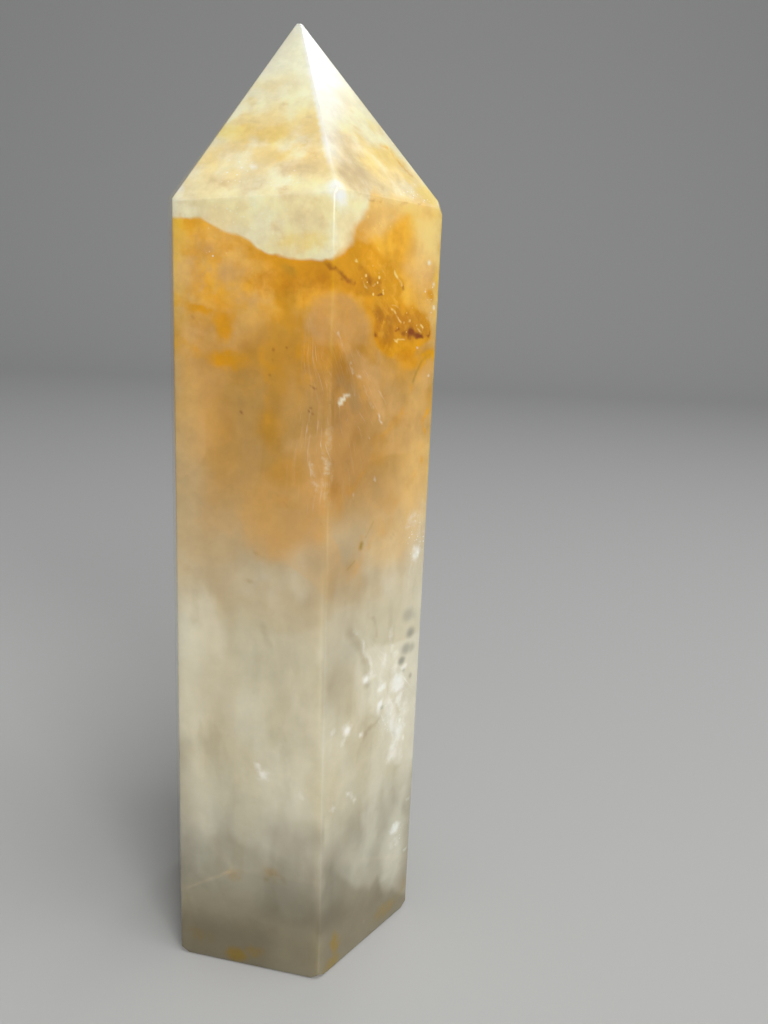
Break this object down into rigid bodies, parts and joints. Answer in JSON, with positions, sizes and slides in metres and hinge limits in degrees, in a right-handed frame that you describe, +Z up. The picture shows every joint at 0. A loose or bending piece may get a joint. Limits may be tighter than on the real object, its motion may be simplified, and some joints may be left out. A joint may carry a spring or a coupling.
{
  "type": "golden healer quartz tower",
  "caption": "Polished six-sided crystal point in cloudy cream quartz with golden iron staining, standing upright on a flat cut base.",
  "frame": {"origin": "middle of the tower's outline, on the surface that it stands on", "axes": "+Z up the tower to its point; -Y towards the front, where the wide cream and gold face is; +X to the right seen from the front"},
  "size_m": [0.037, 0.0358, 0.1202],
  "materials": {
    "golden_quartz": "polished"
  },
  "bodies": {
    "root": {"quartz_tower": "golden_quartz"}
  },
  "joints": []
}
